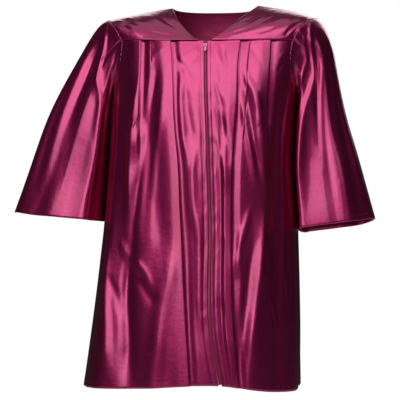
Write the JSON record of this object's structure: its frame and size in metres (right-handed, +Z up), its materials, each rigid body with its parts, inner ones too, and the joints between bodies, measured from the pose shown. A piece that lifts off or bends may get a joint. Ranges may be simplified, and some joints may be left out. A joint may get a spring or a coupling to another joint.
{
  "type": "choir robe",
  "caption": "Child's satin choir robe with bell sleeves, a V neck, pleats below a yoke and a front zip, shaped as worn and hollow.",
  "frame": {"origin": "on the wearer's shoulder line, midway between the shoulders and between front and back of the neck", "axes": "+Z up the garment, -Y out of its front, +X towards the right side as seen from in front"},
  "size_m": [0.6662, 0.2948, 0.697],
  "materials": {
    "satin": "glossy satin weave",
    "zip_cloth": "matte woven tape with a plastic coil",
    "zip_metal": "pink lacquer over die-cast metal"
  },
  "bodies": {
    "robe": {"front_left": "satin", "front_right": "satin", "back": "satin", "yoke_front_left": "satin", "yoke_front_right": "satin", "yoke_back": "satin", "sleeve_left": "satin", "sleeve_right": "satin", "zip_tape_left": "zip_cloth", "zip_tape_right": "zip_cloth", "zip_coil": "zip_cloth", "zip_slider": "zip_metal"},
    "pull_tab": {"pull_tab": "zip_metal"}
  },
  "joints": [
    {"name": "tab_hinge", "type": "hinge", "parent": "robe", "child": "pull_tab", "pos_m": [-0.00164, -0.11227, -0.07816], "axis": [-0.9993, -0.0109, -0.035], "range_deg": [0, 170]}
  ]
}
